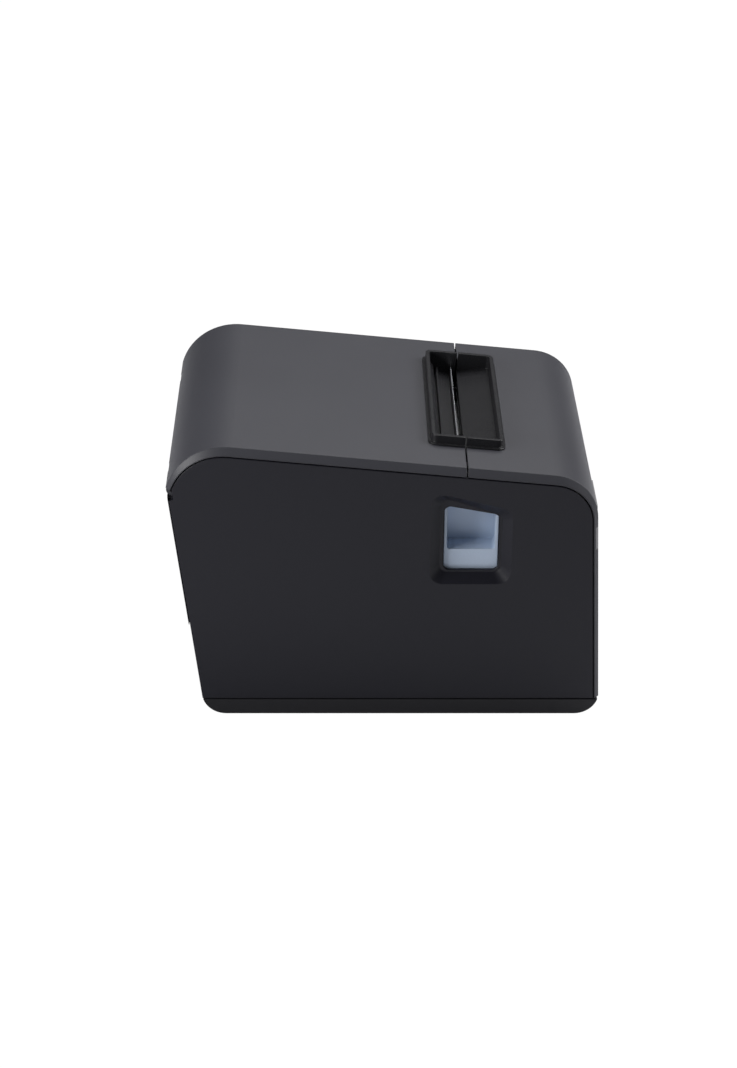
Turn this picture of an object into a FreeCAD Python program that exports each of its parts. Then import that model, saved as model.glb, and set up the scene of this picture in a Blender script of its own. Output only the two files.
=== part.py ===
import FreeCAD, Part
import Sketcher
import math
import os
from types import SimpleNamespace

# A countertop receipt printer: clamshell case, drop-in paper bin, platen on the lid, print head and cutter.
# X points to the front, Y to the left, Z up. The origin is under the middle of the case, at the feet.

# Driving dimensions in millimetres, and angles in degrees
SIZES = {
    # Side outline of the case
    "case_width": 140.0,
    "case_length": 197.4,
    "foot_height": 2.0,
    "base_height": 8.4,
    "base_corner": 11.0,
    "front_height": 123.4,
    "front_setback": 5.6,
    "front_round": 22.0,
    "kink_height": 119.0,
    "rear_overhang": 13.8,
    "crown_height": 141.3,
    "crown_inset": 7.2,
    "crown_round": 28.0,
    # Shell walls and the bevelled rim along the sides
    "wall": 2.4,
    "rim_width": 2.2,
    "rim_front": 1.7,
    "rim_top": 3.4,
    "rim_rear": 1.8,
    "rim_land": 0.4,
    "groove": 0.6,
    "rear_rim": 0.25,
    "rear_lip": 0.5,
    "rear_groove": 0.35,
    "panel_wall": 2.6,
    "flange_gap": 0.5,
    "flange_width": 5.0,
    "flange_depth": 2.6,
    "split_forward": 35.1,
    "split_gap": 0.7,
    "seam_groove": 0.7,
    "seam_depth": 0.8,
    "clearance": 0.4,
    # Connector bay at the back
    "bay_top": 50.0,
    "bay_depth": 9.5,
    "plate_wall": 1.5,
    # Feet, and the bosses that carry the chassis
    "foot_radius": 8.0,
    "foot_seat": 0.8,
    "foot_inset": 24.0,
    "foot_side": 16.0,
    "boss_radius": 4.5,
    "boss_side": 49.0,
    "boss_front": 55.0,
    "boss_rear": 43.0,
    "recess_radius": 3.4,
    "recess_depth": 4.0,
    "lug_height": 12.0,
    "vent_length": 30.0,
    "vent_width": 3.0,
    "vent_pitch": 8.0,
    "vent_count": 5.0,
    # Lid hinge
    "hinge_inset": 3.5,
    "hinge_drop": 1.2,
    "hinge_radius": 3.4,
    "hinge_gap": 0.5,
    "barrel_half": 67.0,
    "ear_inner": 44.0,
    "ear_width": 8.0,
    "pin_radius": 1.5,
    "pin_running": 0.08,
    "pin_overlap": 7.0,
    # Exit ring, measured from the split along the top face
    "ring_front": 17.0,
    "ring_rear": 15.6,
    "ring_half": 47.0,
    "ring_wall": 1.8,
    "ring_rise": 4.5,
    "ring_corner": 3.0,
    "ring_skirt": 7.5,
    "ring_flange": 1.2,
    "ring_flange_rise": 0.8,
    "ramp_low": 5.0,
    "ramp_high": 1.5,
    "ramp_wall": 1.6,
    "ledge_run": 2.7,
    "ledge_drop": 3.0,
    "ledge_gap": 1.3,
    "rib_width": 1.0,
    "rib_rise": 2.4,
    "exit_floor": 6.0,
    "tear_front": 2.4,
    "tear_wall": 0.5,
    "tear_top": 2.6,
    "tear_pitch": 2.0,
    "tear_depth": 0.9,
    # Platen and its holder, measured from the split and down from the top face
    "platen_radius": 7.5,
    "platen_half": 41.0,
    "platen_drop": 27.3,
    "paper_line": 1.4,
    "shaft_radius": 3.0,
    "shaft_running": 0.06,
    "bushing_radius": 4.8,
    "arm_wall": 2.4,
    "holder_top": 8.4,
    "holder_wall": 2.0,
    "holder_rear": 32.0,
    "post_size": 8.0,
    # Print mechanism
    "cheek_inner": 45.0,
    "cheek_wall": 2.0,
    "cheek_rear": 18.0,
    "cheek_front": 40.0,
    "cheek_top": 14.0,
    "cheek_low": 70.0,
    "sheet_wall": 1.5,
    "head_gap": 0.4,
    "ceramic_wall": 1.2,
    "ceramic_up": 6.0,
    "ceramic_down": 9.0,
    "sink_wall": 5.0,
    "sink_up": 8.0,
    "sink_down": 13.0,
    "fin_count": 4.0,
    "head_half": 42.5,
    "head_pivot_down": 10.0,
    "spring_gap": 6.5,
    "spring_wall": 0.4,
    "spring_half": 9.0,
    "motor_radius": 15.0,
    "motor_length": 20.0,
    "motor_shaft": 1.5,
    "stud_radius": 2.0,
    # Gears
    "gear_module": 0.8,
    "platen_teeth": 20.0,
    "idler_teeth": 36.0,
    "pinion_teeth": 14.0,
    "gear_width": 4.0,
    "gear_offset": 2.0,
    "backlash": 0.16,
    "idler_angle": -65.0,
    "pinion_angle": -15.0,
    # Cutter
    "blade_wall": 1.0,
    "blade_level": 11.0,
    "blade_gap": 0.5,
    "blade_half": 40.0,
    "blade_rest": 1.0,
    "blade_depth": 26.0,
    "blade_vee": 5.5,
    "bed_wall": 1.5,
    "rack_drop": 5.5,
    "rack_width": 6.0,
    "cutter_motor_radius": 8.5,
    "cutter_motor_length": 30.0,
    "cutter_forward": 24.0,
    # Chassis: paper bin, deck and platform
    "bin_radius": 43.0,
    "bin_half": 41.5,
    "bin_flat": 3.0,
    "bin_back": 61.0,
    "bin_rear": 26.8,
    "bin_drop": 62.0,
    "bin_wall": 2.4,
    "bin_front_top": 50.0,
    "deck_drop": 19.0,
    "deck_half": 63.0,
    "deck_front": 30.0,
    "deck_rear": 13.5,
    # Release lever on the right side
    "dish_left": 19.1,
    "dish_right": 55.9,
    "dish_low": 71.2,
    "dish_high_left": 118.1,
    "dish_high_right": 108.7,
    "dish_corner": 6.0,
    "dish_depth": 3.6,
    "dish_slope": 4.4,
    "window_left": 25.2,
    "window_right": 50.3,
    "window_low": 76.5,
    "window_high_left": 109.5,
    "window_high_right": 104.7,
    "window_corner": 3.0,
    "lever_gap": 0.35,
    "lever_wall": 1.3,
    "lever_depth": 11.4,
    "lever_ledge": 86.3,
    "lever_below": 4.5,
    "lever_above": 7.0,
    "lever_corner": 2.0,
    "rail_wall": 2.6,
    "rail_depth": 9.0,
    "spring_height": 14.0,
    "spring_radius": 4.0,
    "spring_wire": 0.45,
    "spring_turns": 6.0,
    "latch_wall": 1.6,
    "latch_arm": 3.0,
    "latch_reach": 19.0,
    "latch_tail": 19.0,
    # Front strip, button and lights
    "strip_low": 88.5,
    "strip_high": 99.5,
    "strip_wall": 1.2,
    "button_near": 45.5,
    "button_far": 18.5,
    "button_low": 89.8,
    "button_high": 98.2,
    "button_proud": 1.7,
    "button_flange": 1.2,
    "button_gap": 0.35,
    "button_travel": 1.0,
    "button_corner": 1.5,
    "light_radius": 1.5,
    "light_pitch": 10.0,
    "light_first": 14.0,
    "light_level": 94.0,
    "board_wall": 1.6,
    "board_back": 10.0,
    # Electronics
    "board_level": 10.0,
    "board_front": 20.0,
    "board_half": 39.0,
    "socket_wall": 1.0,
    "socket_proud": 1.0,
    "socket_depth": 15.0,
    "lan_place": 27.0,
    "lan_width": 16.0,
    "lan_height": 13.5,
    "drawer_place": -10.0,
    "drawer_width": 13.0,
    "drawer_height": 12.0,
    "usb_place": 8.0,
    "usb_size": 12.0,
    "jack_place": -29.0,
    "jack_size": 14.0,
    "jack_bore": 4.5,
    "switch_place": 53.0,
    "switch_level": 33.0,
    "switch_width": 13.0,
    "rocker_half": 8.0,
    "rocker_depth": 3.0,
    "rocker_swing": 14.0,
}

doc = FreeCAD.newDocument("receipt_printer")
sheet = doc.addObject("Spreadsheet::Sheet", "dims")
for row, (name, number) in enumerate(SIZES.items(), start=1):
    sheet.set(f"A{row}", name)
    sheet.set(f"B{row}", str(number))
    sheet.setAlias(f"B{row}", name)
doc.recompute()


class Size:
    # A length that carries its number together with the sheet expression it comes from
    def __init__(self, value, text):
        self.value = value
        self.text = text

    def __add__(self, other):
        other = as_size(other)
        return Size(self.value + other.value, f"({self.text} + {other.text})")

    def __sub__(self, other):
        other = as_size(other)
        return Size(self.value - other.value, f"({self.text} - {other.text})")

    def __mul__(self, other):
        other = as_size(other)
        return Size(self.value * other.value, f"({self.text} * {other.text})")

    def __truediv__(self, other):
        other = as_size(other)
        return Size(self.value / other.value, f"({self.text} / {other.text})")

    def __radd__(self, other):
        return as_size(other) + self

    def __rsub__(self, other):
        return as_size(other) - self

    def __rmul__(self, other):
        return as_size(other) * self

    def __rtruediv__(self, other):
        return as_size(other) / self

    def __neg__(self):
        return Size(-self.value, f"(0 - {self.text})")


def as_size(number):
    if isinstance(number, Size):
        return number
    return Size(float(number), f"({float(number)})")


def root(size):
    return Size(math.sqrt(size.value), f"sqrt({size.text})")


d = SimpleNamespace(**{name: Size(number, f"dims.{name}") for name, number in SIZES.items()})
nothing = as_size(0)


def bind(item, prop, size):
    item.setExpression(prop, as_size(size).text)


# Main lines of the case seen from the side

half_width = d.case_width / 2
half_length = d.case_length / 2
seam = d.foot_height + d.base_height
corner_front = half_length - d.front_setback
crown_x = d.crown_inset - half_length
kink_x = -half_length
front_rake = d.front_setback / (d.front_height - d.foot_height - d.base_corner)
rear_rake = d.rear_overhang / (d.kink_height - d.foot_height)
top_slope = (d.crown_height - d.front_height) / (corner_front - crown_x)


def top_z(x):
    return d.front_height + (corner_front - x) * top_slope


def front_x(z):
    return corner_front + (d.front_height - z) * front_rake


def rear_x(z):
    return kink_x + (d.kink_height - z) * rear_rake


class Frame:
    # A place to build in: an origin, and a tilt about Y given by the slope of its floor
    def __init__(self, x, z, slope):
        self.x = x
        self.z = z
        self.slope = slope
        self.cosine = 1 / root(1 + slope * slope)
        self.sine = slope * self.cosine

    def point(self, u, w):
        return (self.x + u * self.cosine + w * self.sine, self.z - u * self.sine + w * self.cosine)

    def place(self, item, u, y, w, turn=None):
        tilt = FreeCAD.Rotation(FreeCAD.Vector(0, 1, 0), math.degrees(math.atan(self.slope.value)))
        x, z = self.point(as_size(u), as_size(w))
        y = as_size(y)
        item.Placement = FreeCAD.Placement(FreeCAD.Vector(x.value, y.value, z.value),
                                           tilt * (turn or FreeCAD.Rotation()))
        bind(item, "Placement.Base.x", x)
        bind(item, "Placement.Base.y", y)
        bind(item, "Placement.Base.z", z)


house = Frame(nothing, nothing, nothing)
deck = Frame(d.split_forward, top_z(d.split_forward), top_slope)

# Turns that lay a cylinder along an axis
along = {
    "X": FreeCAD.Rotation(FreeCAD.Vector(0, 1, 0), 90),
    "Y": FreeCAD.Rotation(FreeCAD.Vector(1, 0, 0), -90),
    "Z": FreeCAD.Rotation(),
}


def block(name, x, y, z, frame=house):
    item = doc.addObject("Part::Box", name)
    low = [as_size(span[0]) for span in (x, y, z)]
    high = [as_size(span[1]) for span in (x, y, z)]
    for prop, start, end in zip(("Length", "Width", "Height"), low, high):
        bind(item, prop, end - start)
    frame.place(item, low[0], low[1], low[2])
    return item


def rod(name, axis, centre, span, radius, frame=house):
    item = doc.addObject("Part::Cylinder", name)
    low, high = as_size(span[0]), as_size(span[1])
    first, second = as_size(centre[0]), as_size(centre[1])
    bind(item, "Radius", radius)
    bind(item, "Height", high - low)
    start = {"X": (low, first, second), "Y": (first, low, second), "Z": (first, second, low)}[axis]
    frame.place(item, *start, turn=along[axis])
    return item


def add_sketch(body, plane, corners, offset=None):
    # A closed outline of straight sides; a corner with a radius is rounded by a tangent arc
    sketch = body.newObject("Sketcher::SketchObject", body.Name + "_outline")
    support = [item for item in body.Origin.OriginFeatures if item.Role == plane][0]
    sketch.AttachmentSupport = [(support, "")]
    sketch.MapMode = "FlatFace"
    if offset is not None:
        bind(sketch, "AttachmentOffset.Base.z", offset)
    corners = [(as_size(x), as_size(z), radius) for x, z, radius in corners]
    points = [FreeCAD.Vector(x.value, z.value, 0) for x, z, radius in corners]
    count = len(corners)
    arrive, leave, arcs = list(points), list(points), [None] * count
    for index, (x, z, radius) in enumerate(corners):
        if radius is None:
            continue
        here = points[index]
        inward = (here - points[index - 1]).normalize()
        outward = (points[(index + 1) % count] - here).normalize()
        turn = inward.x * outward.y - inward.y * outward.x
        reach = radius.value * math.tan(inward.getAngle(outward) / 2)
        arrive[index] = here - inward * reach
        leave[index] = here + outward * reach
        side = 1 if turn > 0 else -1
        centre = arrive[index] + FreeCAD.Vector(-inward.y, inward.x, 0) * radius.value * side
        arcs[index] = (centre, radius, side)
    lines = []
    for index in range(count):
        line = Part.LineSegment(leave[index], arrive[(index + 1) % count])
        lines.append(sketch.addGeometry(line, False))
    for index, (x, z, radius) in enumerate(corners):
        before, after = lines[index - 1], lines[index]
        if arcs[index] is None:
            sketch.addConstraint(Sketcher.Constraint("Coincident", before, 2, after, 1))
            fixed = after
        else:
            centre, radius, side = arcs[index]
            ends = [arrive[index], leave[index]][::side]
            angles = [math.atan2((end - centre).y, (end - centre).x) for end in ends]
            circle = Part.Circle(centre, FreeCAD.Vector(0, 0, 1), radius.value)
            arc = sketch.addGeometry(Part.ArcOfCircle(circle, angles[0], angles[1]), False)
            first, last = (1, 2) if side > 0 else (2, 1)
            sketch.addConstraint(Sketcher.Constraint("Tangent", before, 2, arc, first))
            sketch.addConstraint(Sketcher.Constraint("Tangent", arc, last, after, 1))
            number = sketch.addConstraint(Sketcher.Constraint("Radius", arc, radius.value))
            sketch.renameConstraint(number, f"round_{index}")
            bind(sketch, f"Constraints.round_{index}", radius)
            fixed = sketch.addGeometry(Part.Point(points[index]), True)
            sketch.addConstraint(Sketcher.Constraint("PointOnObject", fixed, 1, before))
            sketch.addConstraint(Sketcher.Constraint("PointOnObject", fixed, 1, after))
        for kind, name, size in (("DistanceX", "across", x), ("DistanceY", "up", z)):
            number = sketch.addConstraint(Sketcher.Constraint(kind, -1, 1, fixed, 1, size.value))
            sketch.renameConstraint(number, f"{name}_{index}")
            bind(sketch, f"Constraints.{name}_{index}", size)
    return sketch


def profile(name, plane, corners, span, frame=house):
    # A body padded from one outline: XZ runs along Y, XY upwards, YZ forwards
    body = doc.addObject("PartDesign::Body", name)
    pad_outline(body, plane, corners, span)
    low, high = as_size(span[0]), as_size(span[1])
    start = {"XZ_Plane": (nothing, high, nothing), "XY_Plane": (nothing, nothing, low),
             "YZ_Plane": (low, nothing, nothing)}[plane]
    frame.place(body, *start)
    return body


def pad_outline(body, plane, corners, span):
    pad = body.newObject("PartDesign::Pad", body.Name + "_pad")
    pad.Profile = add_sketch(body, plane, corners)
    bind(pad, "Length", as_size(span[1]) - as_size(span[0]))
    body.Tip = pad
    return pad


def cut(name, base, *tools):
    item = doc.addObject("Part::Cut", name)
    item.Base = base
    item.Tool = tools[0] if len(tools) == 1 else join(name + "_tools", *tools)
    item.Refine = True
    return item


def join(name, *items):
    item = doc.addObject("Part::MultiFuse", name)
    item.Shapes = list(items)
    item.Refine = True
    return item


def group(name, *items):
    item = doc.addObject("Part::Compound", name)
    item.Links = list(items)
    return item


def overlap(name, *items):
    item = doc.addObject("Part::MultiCommon", name)
    item.Shapes = list(items)
    item.Refine = True
    return item


def mirrored(size_span):
    return (-as_size(size_span[1]), -as_size(size_span[0]))


def on_side(side, inner, outer):
    return (inner, outer) if side > 0 else mirrored((inner, outer))


def round_rect(x, z, radius):
    return [(x[0], z[0], radius), (x[1], z[0], radius), (x[1], z[1], radius), (x[0], z[1], radius)]


nodes = []


def node(item, label):
    item.Label = label
    nodes.append(item)
    return item


# Outline of the case, set in from the front, the top and the rear

def front_corner(front, top):
    return (corner_front - front + top * front_rake, d.front_height - top + front * top_slope,
            d.front_round - (front + top) / 2)


def crown_corner(top, rear):
    return (crown_x + rear, d.crown_height - top - rear * top_slope, d.crown_round - (top + rear) / 2)


def kink_corner(rear):
    return (kink_x + rear, d.kink_height, None)


def side_outline(front, top, rear, floor=seam):
    return [
        (front_x(floor) - front, floor, None),
        front_corner(front, top),
        crown_corner(top, rear),
        kink_corner(rear),
        (rear_x(floor) + rear, floor, None),
    ]


def whole_outline(inset):
    front, top, rear, bottom = inset
    corner = d.base_corner - bottom
    floor = d.foot_height + bottom
    return [
        (front_x(floor) - front, floor, corner),
        front_corner(front, top),
        crown_corner(top, rear),
        kink_corner(rear),
        (rear_x(floor) + rear, floor, corner),
    ]


no_inset = (nothing, nothing, nothing)
wall_inset = (d.wall, d.wall, d.wall)
rim_inset = (d.rim_front, d.rim_top, d.rim_rear)
lip_inset = tuple(rim + d.rim_land for rim in rim_inset)
panel_inset = tuple(lip + d.groove for lip in lip_inset)
flange_inset = (d.wall + d.flange_gap,) * 3
window_inset = (d.wall + d.flange_gap + d.flange_width,) * 3
rim_start = half_width - d.rim_width
panel_inner = half_width - d.panel_wall
rear_strip = d.rear_lip + d.rear_groove


def wrap_shell(name, chain, start=rim_start, rim_inset=rim_inset, lip_inset=lip_inset):
    # A shell that wraps from side to side, with a bevelled rim down to the side panels
    def band(outer, inner):
        return chain(*outer) + chain(*inner)[::-1]

    body = doc.addObject("PartDesign::Body", name)
    pad = pad_outline(body, "XZ_Plane", band(no_inset, wall_inset), (-start, start))
    pad.SideType = "Symmetric"
    rim = body.newObject("PartDesign::AdditiveLoft", name + "_rim")
    rim.Profile = add_sketch(body, "XZ_Plane", band(no_inset, lip_inset), start)
    rim.Sections = [add_sketch(body, "XZ_Plane", band(rim_inset, lip_inset), half_width)]
    rim.Ruled = True
    far_rim = body.newObject("PartDesign::Mirrored", name + "_far_rim")
    far_rim.Originals = [rim]
    far_rim.MirrorPlane = ([item for item in body.Origin.OriginFeatures if item.Role == "XZ_Plane"][0],
                           [""])
    body.Tip = far_rim
    return body


hinge_x = kink_x + d.hinge_inset
hinge_z = d.kink_height - d.hinge_drop
hinge_sweep = d.hinge_radius + d.hinge_gap


# Base tray with feet seats, screw bosses, board posts and vent slots

floor_top = d.foot_height + d.wall
foot_y = half_width - d.foot_side
foot_places = [(x, y) for x in (rear_x(d.foot_height) + d.foot_inset, half_length - d.foot_inset)
               for y in (-foot_y, foot_y)]
boss_places = [(x, y) for x in (-d.boss_rear, d.boss_front) for y in (-d.boss_side, d.boss_side)]


def base_tray():
    sides = (-half_width, half_width)
    length = (-d.case_length, d.case_length)
    outer = profile("tray_outer", "XZ_Plane", whole_outline((nothing, nothing, rear_strip, nothing)), sides)
    inset = (d.seam_depth, d.seam_depth, rear_strip + d.seam_depth, nothing)
    rim = profile("tray_rim", "XZ_Plane", whole_outline(inset),
                  (d.seam_depth - half_width, half_width - d.seam_depth))
    low = overlap("tray_low", outer, block("tray_low_slab", length, sides, (nothing, seam - d.seam_groove)))
    high = overlap("tray_high", rim, block("tray_high_slab", length, sides, (nothing, seam)))
    hollow = profile("tray_hollow", "XZ_Plane",
                     whole_outline((d.wall, d.wall, rear_strip + d.wall, d.wall)),
                     (d.wall - half_width, half_width - d.wall))
    tray = cut("tray_shell", join("tray_blank", low, high), hollow)
    bosses = [rod("tray_boss", "Z", place, (d.foot_height, seam), d.boss_radius) for place in boss_places]
    holes = [rod("boss_recess", "Z", place, (nothing, d.foot_height + d.recess_depth), d.recess_radius)
             for place in boss_places]
    seats = [rod("foot_seat", "Z", place, (nothing, d.foot_height + d.foot_seat), d.foot_radius)
             for place in foot_places]
    vents = []
    vent_count = int(SIZES["vent_count"])
    for step in range(vent_count):
        middle = (step - (vent_count - 1) / 2) * d.vent_pitch
        vents.append(block("vent", (-d.vent_length / 2, d.vent_length / 2),
                           (middle - d.vent_width / 2, middle + d.vent_width / 2), (nothing, floor_top)))
    posts = [block("board_post", (x - d.wall, x + d.wall), (y - d.wall, y + d.wall),
                   (d.foot_height, d.board_level))
             for x, y in board_places]
    node(cut("tray", join("tray_full", tray, *bosses, *posts), *holes, *seats, *vents), "base_tray")


bay_front = rear_x(seam) + d.bay_depth
board_places = [(x, y) for x in (bay_front + d.bay_depth, d.board_front - d.bay_depth)
                for y in (-d.board_half + d.boss_radius, d.board_half - d.boss_radius)]


def rubber_feet():
    feet = [rod("foot", "Z", place, (nothing, d.foot_height + d.foot_seat), d.foot_radius)
            for place in foot_places]
    node(group("feet", *feet), "rubber_feet")


# Side panels with an inner flange that closes the groove under the covers

def panel_outline():
    # The plate stays clear of the lid's rim by the hinge, and reaches further back below it
    front, top, rear = panel_inset
    step = hinge_z - hinge_sweep
    return [
        (front_x(seam) - front, seam, None),
        front_corner(front, top),
        crown_corner(top, rear),
        kink_corner(rear),
        (rear_x(step) + rear, step, None),
        (rear_x(step - d.hinge_gap) + rear_strip, step - d.hinge_gap, None),
        (rear_x(seam) + rear_strip, seam, None),
    ]


def side_panel(side, label):
    plate_span = on_side(side, panel_inner, half_width)
    flange_inner = panel_inner - d.flange_depth
    flange_span = on_side(side, flange_inner, panel_inner)
    plate = profile(label + "_plate", "XZ_Plane", panel_outline(), plate_span)
    flange = profile(label + "_flange", "XZ_Plane", side_outline(*flange_inset), flange_span)
    hollow = profile(label + "_hollow", "XZ_Plane",
                     side_outline(*window_inset, floor=seam + d.flange_width), flange_span)
    ring = cut(label + "_ring", flange, hollow)
    hinge_space = rod(label + "_hinge", "Y", (hinge_x, hinge_z), flange_span, hinge_sweep)
    if side > 0:
        node(cut(label + "_body", join(label + "_blank", plate, ring), hinge_space), label)
        return
    backing = block("dish_backing", (d.dish_left, d.dish_right), flange_span,
                    (d.dish_low, d.dish_high_left))
    rails = [block("lever_rail", span, mirrored((flange_inner - d.rail_depth, flange_inner)),
                   (d.dish_low, d.dish_high_right))
             for span in ((d.window_left - d.rail_wall, d.window_left),
                          (d.window_right, d.window_right + d.rail_wall))]
    shelf_top = lever_low - d.spring_height
    shelf = block("spring_shelf", (d.window_left - d.rail_wall, d.window_right + d.rail_wall),
                  mirrored((flange_inner - d.rail_depth, panel_inner)), (shelf_top - d.rail_wall,
                                                                         shelf_top))
    blank = join(label + "_blank", plate, ring, backing, shelf, *rails)
    node(cut(label + "_body", blank, hinge_space, lever_dish(), lever_window()), label)


lever_face = panel_inner - d.flange_depth - d.clearance
lever_low = d.window_low - d.lever_below


def dish_outline(shrink):
    return [
        (d.dish_left + shrink, d.dish_low + shrink, d.dish_corner - shrink / 2),
        (d.dish_right - shrink, d.dish_low + shrink, d.dish_corner - shrink / 2),
        (d.dish_right - shrink, d.dish_high_right - shrink, d.dish_corner - shrink / 2),
        (d.dish_left + shrink, d.dish_high_left - shrink, d.dish_corner - shrink / 2),
    ]


def lever_dish():
    body = doc.addObject("PartDesign::Body", "lever_dish")
    dish = body.newObject("PartDesign::AdditiveLoft", "lever_dish_loft")
    dish.Profile = add_sketch(body, "XZ_Plane", dish_outline(nothing), half_width)
    dish.Sections = [add_sketch(body, "XZ_Plane", dish_outline(d.dish_slope), half_width - d.dish_depth)]
    dish.Ruled = True
    body.Tip = dish
    return body


def lever_window():
    corners = [
        (d.window_left, d.window_low, d.window_corner),
        (d.window_right, d.window_low, d.window_corner),
        (d.window_right, d.window_high_right, d.window_corner),
        (d.window_left, d.window_high_left, d.window_corner),
    ]
    return profile("lever_window", "XZ_Plane", corners, mirrored((half_width / 2, half_width)))


# Front cover, its grey strip with button and lights, and the rear panel

def front_chain(front, top, rear):
    split = d.split_forward + d.split_gap / 2
    return [(front_x(seam) - front, seam, None), front_corner(front, top),
            (split, top_z(split) - top, None)]


def lid_chain(front, top, rear):
    split = d.split_forward - d.split_gap / 2
    return [(split, top_z(split) - top, None), crown_corner(top, rear), kink_corner(rear)]


def rear_chain(front, top, rear):
    return [(rear_x(hinge_z) + rear, hinge_z, None), (rear_x(d.bay_top) + rear, d.bay_top, None)]


def strip_rebate():
    low, high = d.strip_low, d.strip_high
    corners = [
        (front_x(low) - d.strip_wall, low, None),
        (front_x(low) + d.rim_width, low, None),
        (front_x(high) + d.rim_width, high, None),
        (front_x(high) - d.strip_wall, high, None),
    ]
    return profile("strip_rebate", "XZ_Plane", corners, (-half_width, half_width))


button_y = (-d.button_near, -d.button_far)
button_z = (d.button_low, d.button_high)
light_places = [(d.light_first + step * d.light_pitch, d.light_level) for step in range(3)]
front_face = front_x(d.light_level)
board_face = front_face - d.board_back
ring_hole_half = d.ring_half + d.clearance / 2


def front_openings():
    gap = d.button_gap
    button = profile("button_hole", "YZ_Plane",
                     round_rect((button_y[0] - gap, button_y[1] + gap),
                                (button_z[0] - gap, button_z[1] + gap),
                                d.button_corner + gap), (board_face, front_x(seam)))
    lights = [rod("light_hole", "X", place, (board_face, front_x(seam)), d.light_radius + d.pin_running)
              for place in light_places]
    return [button] + lights


def front_cover():
    shell = wrap_shell("front_shell", front_chain)
    exit_hole = block("front_exit_hole", (-d.ring_rear, d.ring_front + d.clearance / 2),
                      (-ring_hole_half, ring_hole_half), (-d.ring_skirt, d.ring_rise), deck)
    post_low = d.strip_low - d.wall * 2
    posts = [block("control_post", (board_face, front_face - d.wall / 2), span,
                   (post_low, post_low + d.wall))
             for span in (button_y, (d.light_first, d.light_first + d.light_pitch * 2))]
    openings = front_openings()
    strip = strip_rebate()
    cover = cut("front_cover_shell", shell, exit_hole, strip, *openings)
    node(join("front_cover_body", cover, *posts), "front_cover")
    node(cut("strip_body", overlap("strip_band", shell, strip), *openings), "front_strip")


def feed_button():
    face = front_face + d.button_proud
    back = front_face - d.wall - d.button_flange - d.clearance
    flange_front = front_x(d.button_high + d.button_flange) - d.wall - d.clearance
    cap = profile("button_cap", "YZ_Plane", round_rect(button_y, button_z, d.button_corner), (back, face))
    flange = profile("button_flange_plate", "YZ_Plane",
                     round_rect((button_y[0] - d.button_flange, button_y[1] + d.button_flange),
                                (button_z[0] - d.button_flange,
                                 button_z[1] + d.button_flange), d.button_corner),
                     (back, flange_front))
    node(join("button", cap, flange), "feed_button")


def control_board():
    face = board_face
    board = block("control_board_plate", (face - d.board_wall, face),
                  (-d.button_near - d.wall, d.light_first + d.light_pitch * 3),
                  (d.strip_low - d.wall * 2, d.strip_high))
    node(board, "control_board")
    back = front_face - d.wall - d.button_flange - d.clearance
    middle_y = (button_y[0] + button_y[1]) / 2
    middle_z = (button_z[0] + button_z[1]) / 2
    switch_half = (button_z[1] - button_z[0]) / 3
    room = back - d.button_travel - d.clearance
    body = block("switch_case", (face, (face + room) / 2), (middle_y - switch_half, middle_y + switch_half),
                 (middle_z - switch_half, middle_z + switch_half))
    plunger = rod("switch_plunger", "X", (middle_y, middle_z), (face, room), d.light_radius)
    node(join("switch", body, plunger), "feed_switch")
    lights = [rod("light", "X", place, (face, front_face), d.light_radius) for place in light_places]
    node(group("lights", *lights), "led_lenses")


def rear_panel():
    shell = wrap_shell("rear_shell", rear_chain, panel_inner - d.clearance,
                       (nothing, nothing, d.rear_rim), (nothing, nothing, d.rear_lip))
    shelf_front = bay_front + d.plate_wall
    shelf_half = panel_inner - d.flange_depth - d.clearance
    shelf = block("bay_roof", (rear_x(d.bay_top) + d.wall / 2, shelf_front), (-shelf_half, shelf_half),
                  (d.bay_top, d.bay_top + d.wall))
    sweep = rod("rear_hinge_space", "Y", (hinge_x, hinge_z), (-half_width, half_width),
                hinge_sweep + d.clearance)
    wall = cut("rear_wall", shell, sweep)
    ears = []
    for side in (-1, 1):
        span = on_side(side, d.ear_inner, d.ear_inner + d.ear_width)
        disc = rod("ear_disc", "Y", (hinge_x, hinge_z), span, d.hinge_radius)
        foot = rear_x(hinge_z - hinge_sweep * 3) + d.wall / 2
        corners = [
            (hinge_x - d.hinge_radius / 2, hinge_z, None),
            (foot, hinge_z - hinge_sweep * 3, None),
            (hinge_x + d.hinge_radius, hinge_z - hinge_sweep, None),
            (hinge_x + d.hinge_radius, hinge_z, None),
        ]
        web = profile("ear_web", "XZ_Plane", corners, span)
        ears.append(join("ear", disc, web))
    bores = [rod("ear_bore", "Y", (hinge_x, hinge_z), on_side(side, d.ear_inner, d.ear_inner + d.ear_width),
                 d.pin_radius)
             for side in (-1, 1)]
    node(cut("rear_panel_body", join("rear_blank", wall, shelf, *ears), *bores), "rear_panel")


def hinge_pins():
    pins = [rod("hinge_pin", "Y", (hinge_x, hinge_z),
                on_side(side, d.ear_inner - d.pin_overlap,
                        d.ear_inner + d.ear_width + d.pin_overlap), d.pin_radius)
            for side in (-1, 1)]
    node(group("pins", *pins), "hinge_pins")


# Lid: the paper cover with its hinge barrel

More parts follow.
